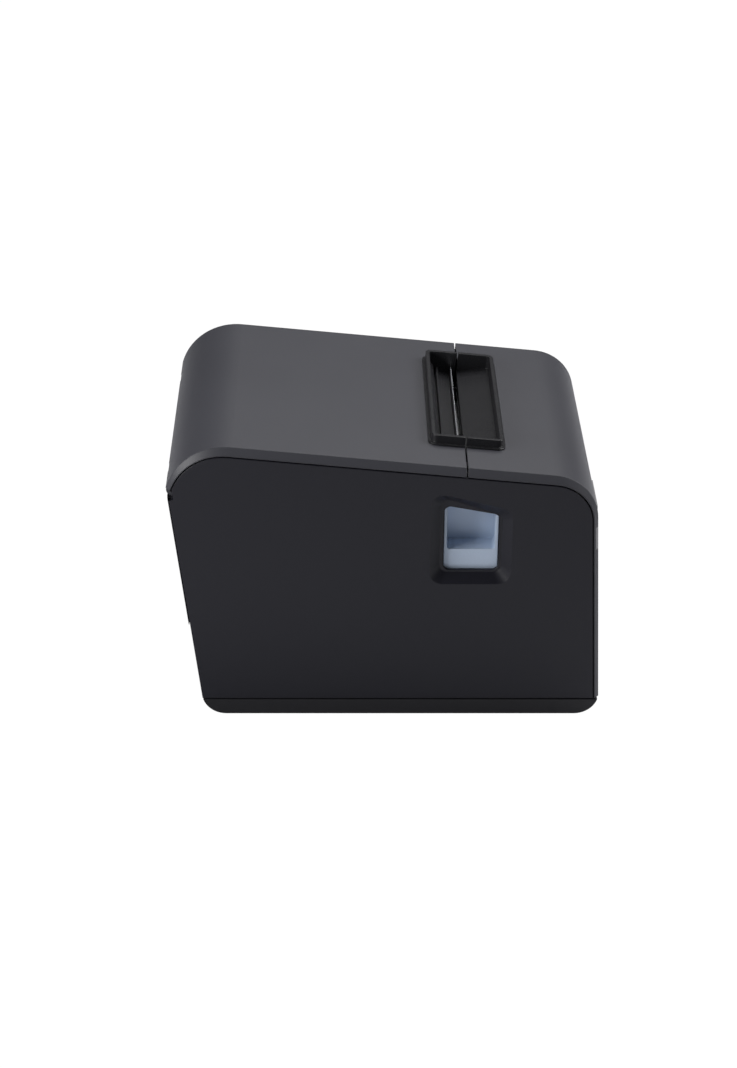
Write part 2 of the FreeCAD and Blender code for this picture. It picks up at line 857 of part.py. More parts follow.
def paper_cover():
    shell = wrap_shell("lid_shell", lid_chain)
    barrel = rod("lid_barrel", "Y", (hinge_x, hinge_z), (-d.barrel_half, d.barrel_half), d.hinge_radius)
    exit_hole = block("lid_exit_hole", (-d.ring_rear - d.clearance / 2, d.ring_front),
                      (-ring_hole_half, ring_hole_half),
                      (-d.ring_skirt, d.ring_rise), deck)
    slots, bores = [], []
    for side in (-1, 1):
        span = on_side(side, d.ear_inner - d.clearance, d.ear_inner + d.ear_width + d.clearance)
        slots.append(rod("ear_slot", "Y", (hinge_x, hinge_z), span, hinge_sweep))
        bore_span = on_side(side, d.ear_inner - d.pin_overlap - d.clearance, d.barrel_half)
        bores.append(rod("barrel_bore", "Y", (hinge_x, hinge_z), bore_span, d.pin_radius + d.pin_running))
    node(cut("lid_body", join("lid_blank", shell, barrel), exit_hole, *slots, *bores), "paper_cover")


# Exit ring: the front half on the front cover, the rear half on the lid

half_gap = d.split_gap / 2


def ring_half(far, near, grow):
    # A U of wall seen from above, its open end at the split
    half = d.ring_half + grow
    wall = d.ring_wall + grow
    corner = d.ring_corner + grow
    inner = d.ring_corner - d.ring_wall
    toward = 1 if far.value > 0 else -1
    return [
        (near, -half, None),
        (far + grow * toward, -half, corner),
        (far + grow * toward, half, corner),
        (near, half, None),
        (near, half - wall, None),
        (far + (grow - wall) * toward, half - wall, inner),
        (far + (grow - wall) * toward, wall - half, inner),
        (near, wall - half, None),
    ]


def exit_trim_front():
    far = d.ring_front
    ring = profile("front_ring", "XY_Plane", ring_half(far, half_gap, nothing),
                   (-d.ring_skirt, d.ring_rise), deck)
    flange = profile("front_ring_flange", "XY_Plane", ring_half(far, half_gap, d.ring_flange),
                     (nothing, d.ring_flange_rise), deck)
    ramp = profile("ramp", "XZ_Plane", [
        (half_gap, -d.ramp_low, None),
        (far - d.ring_wall / 2, -d.ramp_high, None),
        (far - d.ring_wall / 2, -d.ramp_high - d.ramp_wall, None),
        (half_gap, -d.ramp_low - d.ramp_wall, None),
    ], (d.ring_wall / 2 - d.ring_half, d.ring_half - d.ring_wall / 2), deck)
    node(join("exit_front", ring, flange, ramp), "exit_trim_front")


tear_rear = -d.tear_front - d.tear_wall


def exit_trim_rear():
    far = -d.ring_rear
    ring = profile("rear_ring", "XY_Plane", ring_half(far, -half_gap, nothing),
                   (-d.ring_skirt, d.ring_rise), deck)
    flange = profile("rear_ring_flange", "XY_Plane", ring_half(far, -half_gap, d.ring_flange),
                     (nothing, d.ring_flange_rise), deck)
    inner = far + d.ring_wall / 2
    ledge_front = far + d.ring_wall + d.ledge_run
    rib = ledge_front + d.ledge_gap
    floor = profile("exit_floor_plate", "XZ_Plane", [
        (inner, nothing, None),
        (far + d.ring_wall, nothing, None),
        (ledge_front, -d.ledge_drop, None),
        (ledge_front, -d.exit_floor, None),
        (rib, -d.exit_floor, None),
        (rib, d.rib_rise - d.exit_floor, None),
        (rib + d.rib_width, d.rib_rise - d.exit_floor, None),
        (rib + d.rib_width, -d.exit_floor, None),
        (tear_rear, -d.exit_floor, None),
        (tear_rear, -d.ring_skirt, None),
        (inner, -d.ring_skirt, None),
    ], (d.ring_wall / 2 - d.ring_half, d.ring_half - d.ring_wall / 2), deck)
    node(join("exit_rear", ring, flange, floor), "exit_trim_rear")


def tear_bar():
    # A steel strip with a row of saw teeth along its upper edge
    half = (d.ring_half - d.ring_wall - d.clearance).value
    count = int(2 * half / d.tear_pitch.value)
    step = 2 * half / count
    tip = -d.tear_top.value
    gullet = tip - d.tear_depth.value
    foot = -d.ring_skirt.value
    points = [FreeCAD.Vector(0, -half, foot), FreeCAD.Vector(0, half, foot)]
    for tooth in range(count):
        points.append(FreeCAD.Vector(0, half - tooth * step, gullet))
        points.append(FreeCAD.Vector(0, half - (tooth + 0.5) * step, tip))
    points.append(FreeCAD.Vector(0, -half, gullet))
    face = Part.Face(Part.makePolygon(points + points[:1]))
    item = doc.addObject("Part::Feature", "tear_strip")
    item.Shape = face.extrude(FreeCAD.Vector(d.tear_wall.value, 0, 0))
    deck.place(item, tear_rear, nothing, nothing)
    node(item, "tear_bar")


# Platen on the lid: holder, bushings, shaft, rubber and gear

platen_u = -d.platen_radius - d.paper_line
platen_w = -d.platen_drop
arm_outer = d.cheek_inner - d.clearance
arm_inner = arm_outer - d.arm_wall
cheek_outer = d.cheek_inner + d.cheek_wall
gear_low = cheek_outer + d.gear_offset
gear_high = gear_low + d.gear_width
holder_low = -d.holder_top - d.holder_wall


def platen_holder():
    plate = block("holder_plate", (-d.holder_rear, -d.tear_front), (-arm_outer, arm_outer),
                  (holder_low, -d.holder_top), deck)
    arms, posts = [], []
    arm_half = d.bushing_radius + d.wall / 2
    for side in (-1, 1):
        span = on_side(side, arm_inner, arm_outer)
        arms.append(profile("holder_arm", "XZ_Plane", [
            (platen_u - arm_half * 2, -d.holder_top, None),
            (platen_u - arm_half, platen_w - arm_half, arm_half / 2),
            (platen_u + arm_half, platen_w - arm_half, arm_half / 2),
            (platen_u + arm_half, -d.holder_top, None),
        ], span, deck))
        post_span = on_side(side, arm_outer - d.post_size, arm_outer)
        posts.append(block("holder_post", (-d.holder_rear, d.post_size - d.holder_rear), post_span,
                           (-d.holder_top, -d.wall * deck.cosine), deck))
    bore = rod("holder_bore", "Y", (platen_u, platen_w), (-arm_outer, arm_outer),
               d.shaft_radius + d.shaft_running, deck)
    node(cut("holder", join("holder_blank", plate, *arms, *posts), bore), "platen_holder")


def platen_bushings():
    rings = []
    for side in (-1, 1):
        span = on_side(side, arm_outer, cheek_outer + d.clearance)
        ring = rod("bushing", "Y", (platen_u, platen_w), span, d.bushing_radius, deck)
        bore = rod("bushing_bore", "Y", (platen_u, platen_w), span, d.shaft_radius + d.shaft_running, deck)
        rings.append(cut("bushing_ring", ring, bore))
    node(group("bushings", *rings), "platen_bushings")


def platen():
    shaft_end = gear_high + d.clearance
    shaft = rod("shaft", "Y", (platen_u, platen_w), (-cheek_outer - d.gear_offset, shaft_end),
                d.shaft_radius, deck)
    node(shaft, "platen_shaft")
    rubber = rod("rubber_blank", "Y", (platen_u, platen_w), (-d.platen_half, d.platen_half),
                 d.platen_radius, deck)
    bore = rod("rubber_bore", "Y", (platen_u, platen_w), (-d.platen_half, d.platen_half), d.shaft_radius,
               deck)
    node(cut("rubber", rubber, bore), "platen_rubber")


# Gear train on the left cheek

def pitch_radius(teeth):
    return d.gear_module * teeth / 2


def turned(angle):
    # Cosine and sine of an angle in degrees
    return (Size(math.cos(math.radians(angle.value)), f"cos({angle.text})"),
            Size(math.sin(math.radians(angle.value)), f"sin({angle.text})"))


idler_cos, idler_sin = turned(d.idler_angle)
pinion_cos, pinion_sin = turned(d.pinion_angle)
idler_reach = pitch_radius(d.platen_teeth) + pitch_radius(d.idler_teeth)
pinion_reach = pitch_radius(d.idler_teeth) + pitch_radius(d.pinion_teeth)
idler_u = platen_u + idler_reach * idler_cos
idler_w = platen_w + idler_reach * idler_sin
pinion_u = idler_u + pinion_reach * pinion_cos
pinion_w = idler_w + pinion_reach * pinion_sin

ADDENDUM = 0.85
DEDENDUM = 1.2
PRESSURE = math.radians(20)


def gear_face(teeth, phase, bore):
    # One spur gear as a flat face: each involute flank in two short sides, joined by tip and root lines
    module = d.gear_module.value
    pitch = module * teeth / 2
    base = pitch * math.cos(PRESSURE)
    tip = pitch + ADDENDUM * module
    low = pitch - DEDENDUM * module
    flank_low = max(base, low)
    thickness = math.pi / (2 * teeth) - d.backlash.value / (2 * pitch)
    involute = math.tan(PRESSURE) - PRESSURE

    def flank_angle(radius):
        slant = math.acos(min(1.0, base / radius))
        return thickness + involute - (math.tan(slant) - slant)

    def at(radius, angle):
        return FreeCAD.Vector(radius * math.cos(angle), 0, radius * math.sin(angle))

    heights = [flank_low, (flank_low + tip) / 2, tip]
    points = []
    for tooth in range(teeth):
        middle = phase + 2 * math.pi * tooth / teeth
        root_angle = flank_angle(flank_low)
        points.append(at(low, middle - root_angle))
        points += [at(radius, middle - flank_angle(radius)) for radius in heights if radius > low]
        points += [at(radius, middle + flank_angle(radius)) for radius in reversed(heights) if radius > low]
        points.append(at(low, middle + root_angle))
    outline = Part.makePolygon(points + points[:1])
    if bore is None:
        return Part.Face(outline)
    hole = Part.Wire([Part.Circle(FreeCAD.Vector(0, 0, 0), FreeCAD.Vector(0, 1, 0), bore).toShape()])
    return Part.Face([outline, hole])


def gear(name, teeth, phase, bore, span, centre, extra=None):
    item = doc.addObject("Part::Feature", name)
    low, high = as_size(span[0]), as_size(span[1])
    count = int(round(teeth.value))
    shape = gear_face(count, phase, bore).extrude(FreeCAD.Vector(0, high.value - low.value, 0))
    if extra:
        shaft_low, shaft_high, radius = (as_size(value).value for value in extra)
        shaft = Part.makeCylinder(radius, shaft_high - shaft_low,
                                  FreeCAD.Vector(0, shaft_low - low.value, 0),
                                  FreeCAD.Vector(0, 1, 0))
        shape = shape.fuse(shaft).removeSplitter()
    item.Shape = shape
    deck.place(item, centre[0], low, centre[1])
    return item


def meshing_phase(own_teeth, other_teeth, other_phase, direction):
    # Tooth angle that puts a gap of this gear on the tooth of the other, looking along the line of centres
    pitch_angle = 2 * math.pi / other_teeth
    lag = (direction - other_phase) % pitch_angle
    return direction + math.pi + lag * other_teeth / own_teeth + math.pi / own_teeth


def gear_train():
    span = (gear_low, gear_high)
    platen_count, idler_count, pinion_count = (int(teeth.value)
                                               for teeth in (d.platen_teeth, d.idler_teeth, d.pinion_teeth))
    down = math.radians(d.idler_angle.value)
    ahead = math.radians(d.pinion_angle.value)
    platen_phase = down
    idler_phase = meshing_phase(idler_count, platen_count, platen_phase, down)
    pinion_phase = meshing_phase(pinion_count, idler_count, idler_phase, ahead)
    node(gear("platen_wheel", d.platen_teeth, platen_phase, d.shaft_radius.value, span,
              (platen_u, platen_w)), "platen_gear")
    bore = (d.stud_radius + d.shaft_running).value
    node(gear("idler_wheel", d.idler_teeth, idler_phase, bore, span, (idler_u, idler_w)), "idler_gear")
    shaft = (d.cheek_inner - d.motor_length / 2, gear_high, d.motor_shaft)
    node(gear("pinion_wheel", d.pinion_teeth, pinion_phase, None, span, (pinion_u, pinion_w), shaft),
         "motor_pinion")
    stud = rod("stud", "Y", (idler_u, idler_w), (cheek_outer, gear_high + d.clearance * 2), d.stud_radius,
               deck)
    head = rod("stud_head", "Y", (idler_u, idler_w),
               (gear_high + d.clearance, gear_high + d.clearance + d.sheet_wall),
               d.stud_radius * 2, deck)
    node(join("idler_post", stud, head), "idler_stud")
    case = rod("motor_case", "Y", (pinion_u, pinion_w), (d.cheek_inner - d.motor_length, d.cheek_inner),
               d.motor_radius, deck)
    bore = rod("motor_bore", "Y", (pinion_u, pinion_w), (shaft[0] - d.clearance, d.cheek_inner),
               d.motor_shaft + d.shaft_running, deck)
    node(cut("motor", case, bore), "feed_motor")


# Mechanism frame: two steel cheeks joined by a cross plate and a sole plate

head_face = -d.paper_line + d.head_gap
sink_back = head_face + d.ceramic_wall
sink_front = sink_back + d.sink_wall
head_pivot_u = sink_back + d.sink_wall / 2
head_pivot_w = platen_w - d.head_pivot_down
cross_u = sink_front + d.spring_gap


def mechanism_frame():
    notch = d.bushing_radius + d.clearance
    cheeks, holes = [], []
    for side in (-1, 1):
        span = on_side(side, d.cheek_inner, cheek_outer)
        cheeks.append(profile("cheek", "XZ_Plane", [
            (-d.cheek_rear, -d.cheek_low, None),
            (d.cheek_front, -d.cheek_low, None),
            (d.cheek_front, -d.cheek_top, None),
            (platen_u + notch, -d.cheek_top, None),
            (platen_u + notch, platen_w - notch, notch - d.clearance / 2),
            (platen_u - notch, platen_w - notch, notch - d.clearance / 2),
            (platen_u - notch, platen_w + notch, None),
            (-d.cheek_rear, platen_w, None),
        ], span, deck))
    cross = block("cross_plate", (cross_u, cross_u + d.sheet_wall), (-d.cheek_inner, d.cheek_inner),
                  (head_pivot_w, -d.cheek_top - d.rack_drop * 2), deck)
    sole_rear = d.bin_radius - d.bin_back + d.bin_wall + d.clearance
    sole = block("sole_plate", (sole_rear, d.cheek_front), (-d.cheek_inner, d.cheek_inner),
                 (-d.cheek_low, d.sheet_wall - d.cheek_low), deck)
    holes.append(rod("pivot_hole", "Y", (head_pivot_u, head_pivot_w), (-cheek_outer, cheek_outer),
                     d.pin_radius, deck))
    holes.append(rod("motor_hole", "Y", (pinion_u, pinion_w), (d.cheek_inner, cheek_outer),
                     d.motor_shaft * 2, deck))
    blank = join("frame_blank", *cheeks, cross, sole)
    node(cut("frame", blank, *holes), "mechanism_frame")


def thermal_head():
    span = (-d.head_half, d.head_half)
    ceramic = block("ceramic", (head_face, sink_back), span,
                    (platen_w - d.ceramic_down, platen_w + d.ceramic_up), deck)
    node(ceramic, "head_ceramic")
    sink = block("sink", (sink_back, sink_front), span, (platen_w - d.sink_down, platen_w + d.sink_up),
                 deck)
    fin_count = int(SIZES["fin_count"])
    room = d.sink_up + d.head_pivot_down - d.wall * 2
    fins = []
    for step in range(fin_count):
        low = platen_w + d.sink_up - d.wall / 2 - (step + 1) * room / fin_count
        fins.append(block("fin_gap", (sink_front - d.sink_wall / 2, sink_front), span,
                          (low, low + room / fin_count / 2), deck))
    bore = rod("sink_bore", "Y", (head_pivot_u, head_pivot_w), span, d.pin_radius + d.pin_running, deck)
    node(cut("heatsink", sink, bore, *fins), "head_heatsink")
    shaft = rod("pivot_shaft", "Y", (head_pivot_u, head_pivot_w), (-cheek_outer, cheek_outer), d.pin_radius,
                deck)
    node(shaft, "head_pivot_shaft")
    tip_w = platen_w + d.sink_up - d.wall
    low_w = head_pivot_w + d.wall
    leaf = profile("leaf", "XZ_Plane", [
        (cross_u, low_w, None),
        (cross_u, low_w + d.wall, None),
        (sink_front + d.clearance + d.spring_wall, tip_w, None),
        (sink_front + d.clearance, tip_w, None),
        (cross_u - d.spring_wall, low_w + d.wall, None),
        (cross_u - d.spring_wall, low_w, None),
    ], (-d.spring_half, d.spring_half), deck)
    node(leaf, "head_spring")


# Cutter: bed, moving blade with its rack, pinion, motor and the fixed blade on the lid

blade_top = -d.blade_level
blade_low = blade_top - d.blade_wall
fixed_top = blade_low - d.blade_gap
rack_pitch_w = blade_low - d.rack_drop
cutter_w = rack_pitch_w - pitch_radius(d.pinion_teeth)
bed_top = blade_low - d.blade_gap
bed_low = bed_top - d.bed_wall


def fixed_blade():
    edge = -d.paper_line - d.clearance
    rear = d.post_size - d.holder_rear
    plate = profile("fixed_plate", "XZ_Plane", [
        (rear, fixed_top, None),
        (edge, fixed_top, None),
        (edge - d.blade_wall, fixed_top - d.blade_wall, None),
        (rear, fixed_top - d.blade_wall, None),
    ], (-d.blade_half, d.blade_half), deck)
    seat = block("fixed_seat", (rear, rear + d.post_size), (-d.blade_half, d.blade_half),
                 (fixed_top, holder_low), deck)
    node(join("fixed", plate, seat), "fixed_blade")


def rack_outline():
    # Trapezoid teeth that point down at the pinion, one of them centred over it at rest
    pitch = math.pi * d.gear_module
    half = pitch / 4 - d.backlash / 2
    lean = math.tan(PRESSURE)
    tip = rack_pitch_w - ADDENDUM * d.gear_module
    hollow = rack_pitch_w + DEDENDUM * d.gear_module
    tip_half = half - ADDENDUM * d.gear_module * lean
    hollow_half = half + DEDENDUM * d.gear_module * lean
    corners = [(d.cutter_forward - pitch * 3 / 2, blade_low, None)]
    for tooth in range(RACK_TEETH):
        middle = d.cutter_forward + pitch * (tooth - 1)
        corners += [(middle - hollow_half, hollow, None), (middle - tip_half, tip, None),
                    (middle + tip_half, tip, None), (middle + hollow_half, hollow, None)]
    corners.append((d.cutter_forward + pitch * (RACK_TEETH - 1), blade_low, None))
    return corners


RACK_TEETH = 7


def moving_blade():
    edge = d.blade_rest
    back = edge + d.blade_depth
    plate = profile("blade_plate", "XY_Plane", [
        (edge + d.blade_vee, nothing, None),
        (edge, -d.blade_half, None),
        (back, -d.blade_half, None),
        (back, d.blade_half, None),
        (edge, d.blade_half, None),
    ], (blade_low, blade_top), deck)
    rack = profile("rack", "XZ_Plane", rack_outline(), (-d.rack_width / 2, d.rack_width / 2), deck)
    node(join("blade", plate, rack), "moving_blade")


def cutter_drive():
    bracket_low = d.rack_width / 2 + d.clearance
    bracket_high = bracket_low + d.bed_wall
    centre = (d.cutter_forward, cutter_w)
    shaft = (-d.rack_width / 2, bracket_high + d.cutter_motor_length / 2, d.motor_shaft)
    phase = math.pi / 2 + math.pi / int(d.pinion_teeth.value)
    node(gear("cutter_wheel", d.pinion_teeth, phase, None, (-d.rack_width / 2, d.rack_width / 2), centre,
              shaft),
         "cutter_pinion")
    case = rod("cutter_case", "Y", centre, (bracket_high, bracket_high + d.cutter_motor_length),
               d.cutter_motor_radius, deck)
    bore = rod("cutter_bore", "Y", centre, (bracket_high, shaft[1] + d.clearance),
               d.motor_shaft + d.shaft_running, deck)
    node(cut("cutter_motor_body", case, bore), "cutter_motor")
    plate = block("bed_plate", (d.blade_rest, d.cheek_front), (-cheek_outer, cheek_outer),
                  (bed_low, bed_top), deck)
    guide_low = d.blade_half + d.clearance
    guides = [block("blade_guide", (d.blade_rest, d.cheek_front), on_side(side, guide_low, cheek_outer),
                    (bed_low, blade_top), deck)
              for side in (-1, 1)]
    bracket = block("motor_bracket", (d.cutter_forward - d.cutter_motor_radius,
                                      d.cutter_forward + d.cutter_motor_radius),
                    (bracket_low, bracket_high), (cutter_w - d.cutter_motor_radius, bed_low), deck)
    slot = block("rack_slot", (d.blade_rest + d.rack_width, d.cheek_front), (-bracket_low, bracket_low),
                 (bed_low, bed_top), deck)
    hole = rod("bracket_hole", "Y", centre, (bracket_low, bracket_high), d.motor_shaft * 2, deck)
    node(cut("bed", join("bed_blank", plate, bracket, *guides), slot, hole), "cutter_bed")


# Paper bin, deck and mechanism platform in one chassis moulding

def chassis():
    left = d.bin_rear - half_length - d.split_forward
    right = -d.bin_back + d.bin_radius
    floor = -d.bin_drop - d.bin_radius
    rim = -d.deck_drop
    skin = d.bin_wall
    outer_round = d.bin_radius + skin
    rear_round = -left - d.bin_back - d.bin_flat
    trough = profile("bin_trough", "XZ_Plane", [
        (left - skin, rim, None),
        (left - skin, floor - skin, rear_round + skin),
        (right + skin, floor - skin, outer_round),
        (right + skin, -d.bin_front_top, None),
        (right, -d.bin_front_top, None),
        (right, floor, d.bin_radius),
        (left, floor, rear_round),
        (left, rim, None),
    ], (-d.bin_half - skin, d.bin_half + skin), deck)
    platform_top = -d.cheek_low
    platform = block("platform", (right, d.cheek_front), (-cheek_outer, cheek_outer),
                     (platform_top - skin, platform_top), deck)
    pieces = [trough, platform]
    wall_rear = -d.boss_rear - d.boss_radius
    wall_front = d.boss_front + d.boss_radius
    for side in (-1, 1):
        wall_span = on_side(side, d.bin_half, d.bin_half + skin)
        pieces.append(profile("bin_side", "XZ_Plane", [
            (left - skin, rim, None),
            (left - skin, floor - skin, rear_round + skin),
            (right + skin, floor - skin, outer_round),
            (right + skin, -d.bin_front_top, None),
            (-d.deck_front, rim, None),
        ], wall_span, deck))
        platform_low = platform_top - skin / 2
        pieces.append(profile("chassis_wall", "XZ_Plane", [
            (wall_rear, floor_top, None),
            (wall_front, floor_top, None),
            deck.point(d.cheek_front, platform_low) + (None,),
            deck.point(right, platform_low) + (None,),
            (wall_rear, deck.point(right, platform_low)[1], None),
        ], wall_span))
        pieces.append(block("side_deck", (left - skin, -d.deck_front),
                            on_side(side, d.bin_half, d.deck_half), (rim - skin, rim), deck))
    pieces.append(block("rear_deck", (left - d.deck_rear, left - skin / 2), (-d.deck_half, d.deck_half),
                        (rim - skin, rim), deck))
    for x, y in boss_places:
        span = on_side(y.value, d.bin_half, d.boss_side + d.boss_radius)
        pieces.append(block("lug", (x - d.boss_radius, x + d.boss_radius), span,
                            (seam, seam + d.lug_height)))
    node(join("chassis_body", *pieces), "chassis")
    sensor = block("sensor", (-d.bin_back - d.post_size, -d.bin_back),
                   (d.bin_half + skin, d.bin_half + skin + d.post_size / 2),
                   (floor + d.post_size, floor + d.post_size * 2), deck)
    node(sensor, "paper_sensor")
    micro = block("micro", (d.cheek_front - d.post_size * 2, d.cheek_front - d.post_size / 2),
                  mirrored((cheek_outer, cheek_outer + d.post_size / 2)), (-d.cheek_top - d.post_size,
                                                                           -d.cheek_top), deck)
    node(micro, "lid_switch")


# Release lever, its spring and the latch that it works

lever_left = d.window_left + d.lever_gap
lever_right = d.window_right - d.lever_gap
lever_high = d.window_high_left + d.lever_above
lever_back = lever_face - d.lever_depth
latch_inner = cheek_outer + d.clearance * 2
latch_outer = latch_inner + d.latch_wall


def release_lever():
    body = profile("lever_blank", "XZ_Plane", round_rect((lever_left, lever_right), (lever_low, lever_high),
                                                         d.lever_corner),
                   mirrored((lever_back, lever_face)))
    pocket = profile("lever_pocket", "XZ_Plane",
                     round_rect((lever_left + d.lever_wall, lever_right - d.lever_wall),
                                (d.lever_ledge,
                                 lever_high - d.lever_wall), d.lever_corner - d.lever_wall / 2),
                     mirrored((lever_back + d.lever_wall, lever_face)))
    tab_x, tab_z = deck.point(d.latch_tail + latch_u, latch_w + d.latch_arm / 2)
    tab = block("lever_tab", (tab_x - d.latch_arm, tab_x), mirrored((latch_inner, lever_back)),
                (tab_z + d.latch_arm / 2, tab_z + d.latch_arm * 3 / 2))
    node(join("lever", cut("lever_cup", body, pocket), tab), "release_lever")


TURN_STEPS = 12
WIRE_SIDES = 6


def lever_spring():
    # A coil of round wire, drawn in short straight lengths
    wire = d.spring_wire.value
    radius = d.spring_radius.value
    height = d.spring_height.value - 2 * wire
    steps = int(SIZES["spring_turns"]) * TURN_STEPS
    rings = []
    for step in range(steps + 1):
        turn = 2 * math.pi * step / TURN_STEPS
        outward = FreeCAD.Vector(math.cos(turn), math.sin(turn), 0)
        centre = outward * radius + FreeCAD.Vector(0, 0, wire + height * step / steps)
        angles = [2 * math.pi * (side + 0.5) / WIRE_SIDES for side in range(WIRE_SIDES)]
        rings.append([centre + outward * wire * math.cos(angle) + FreeCAD.Vector(0, 0,
                                                                                 wire * math.sin(angle))
                      for angle in angles])
    faces = [Part.Face(Part.makePolygon(ring + ring[:1])) for ring in (rings[0], rings[-1])]
    for ring, following in zip(rings, rings[1:]):
        for side in range(WIRE_SIDES):
            a, b = ring[side - 1], ring[side]
            c, e = following[side], following[side - 1]
            faces.append(Part.Face(Part.makePolygon([a, b, c, a])))
            faces.append(Part.Face(Part.makePolygon([a, c, e, a])))
    item = doc.addObject("Part::Feature", "spring")
    item.Shape = Part.Solid(Part.Shell(faces))
    house.place(item, (lever_left + lever_right) / 2, -(lever_face + lever_back) / 2,
                lever_low - d.spring_height)
    node(item, "lever_spring")


latch_u = platen_u + d.latch_arm
latch_w = platen_w - d.latch_reach


def lid_latch():
    nose = platen_u + d.shaft_radius + d.clearance
    arm = nose + d.latch_arm
    hub = d.latch_arm + d.stud_radius
    top = platen_w + d.shaft_radius * 2
    plate = profile("latch_plate", "XZ_Plane", [
        (latch_u - hub, latch_w - hub, None),
        (latch_u + hub, latch_w - hub, None),
        (latch_u + d.latch_tail, latch_w - d.latch_arm / 2, None),
        (latch_u + d.latch_tail, latch_w + d.latch_arm / 2, None),
        (arm, latch_w + hub, None),
        (arm, top + d.latch_arm, None),
        (nose, top + d.latch_arm, None),
        (nose, top, None),
        (nose + d.clearance, top - d.latch_arm, None),
        (nose + d.clearance, latch_w + hub, None),
        (latch_u - hub, latch_w + hub / 2, None),
    ], mirrored((latch_inner, latch_outer)), deck)
    bore = rod("latch_bore", "Y", (latch_u, latch_w), mirrored((latch_inner, latch_outer)),
               d.stud_radius + d.shaft_running, deck)
    node(cut("latch", plate, bore), "lid_latch")
    stud = rod("latch_post", "Y", (latch_u, latch_w),
               mirrored((cheek_outer, latch_outer + d.clearance * 2)), d.stud_radius, deck)
    head = rod("latch_head", "Y", (latch_u, latch_w),
               mirrored((latch_outer + d.clearance, latch_outer + d.clearance + d.sheet_wall)),
               d.stud_radius * 3 / 2, deck)
    node(join("latch_pivot", stud, head), "latch_stud")


# Connector plate, board and sockets at the back

board_top = d.board_level + d.board_wall
socket_face = bay_front - d.socket_proud


def socket(label, middle, width, height, depth):
    outer_y = (middle - width / 2, middle + width / 2)
    outer_z = (board_top, board_top + height)
    shell = block(label + "_shell", (socket_face, bay_front + depth), outer_y, outer_z)
    wall = d.socket_wall
    hollow = block(label + "_hollow", (socket_face, bay_front + depth - wall),
                   (outer_y[0] + wall, outer_y[1] - wall),
                   (outer_z[0] + wall, outer_z[1] - wall))
    opening = block(label + "_opening", (bay_front, bay_front + d.plate_wall),
                    (outer_y[0] - wall / 2, outer_y[1] + wall / 2),
                    (outer_z[0] - wall, outer_z[1] + wall / 2))
    return cut(label + "_case", shell, hollow), opening


def electronics():
    board = block("board", (bay_front + d.plate_wall + d.clearance, d.board_front),
                  (-d.board_half, d.board_half),
                  (d.board_level, board_top))
    node(board, "main_board")
    lan, lan_hole = socket("lan", d.lan_place, d.lan_width, d.lan_height, d.socket_depth)
    node(lan, "lan_socket")
    drawer, drawer_hole = socket("drawer", d.drawer_place, d.drawer_width, d.drawer_height, d.socket_depth)
    node(drawer, "drawer_jack")
    usb, usb_hole = socket("usb", d.usb_place, d.usb_size, d.usb_size, d.socket_depth)
    tongue = block("usb_tongue", (bay_front + d.plate_wall, bay_front + d.socket_depth),
                   (d.usb_place - d.usb_size / 4, d.usb_place + d.usb_size / 4),
                   (board_top + d.usb_size / 2 - d.usb_size / 8,
                    board_top + d.usb_size / 2 + d.usb_size / 8))
    node(join("usb_body", usb, tongue), "usb_socket")
    jack_z = board_top + d.jack_size / 2
    jack = block("jack_block", (socket_face, bay_front + d.socket_depth),
                 (d.jack_place - d.jack_size / 2, d.jack_place + d.jack_size / 2),
                 (board_top, board_top + d.jack_size))
    jack_bore = rod("jack_bore", "X", (d.jack_place, jack_z),
                    (socket_face, bay_front + d.socket_depth - d.socket_wall), d.jack_bore)
    jack_pin = rod("jack_pin", "X", (d.jack_place, jack_z), (bay_front, bay_front + d.socket_depth),
                   d.socket_wall)
    node(join("jack", cut("jack_case", jack, jack_bore), jack_pin), "dc_jack")
    jack_hole = block("jack_opening", (bay_front, bay_front + d.plate_wall),
                      (d.jack_place - d.jack_size / 2 - d.clearance,
                       d.jack_place + d.jack_size / 2 + d.clearance),
                      (board_top - d.clearance, board_top + d.jack_size + d.clearance))
    switch_hole = power_switch()
    plate = block("plate", (bay_front, bay_front + d.plate_wall), (-d.deck_half, d.deck_half),
                  (floor_top + d.clearance * 2, d.bay_top))
    node(cut("plate_body", plate, lan_hole, drawer_hole, usb_hole, jack_hole, switch_hole),
         "connector_plate")


rocker_z = d.switch_level
rocker_x = bay_front + d.rocker_depth
rocker_lean = math.tan(math.radians(SIZES["rocker_swing"]))


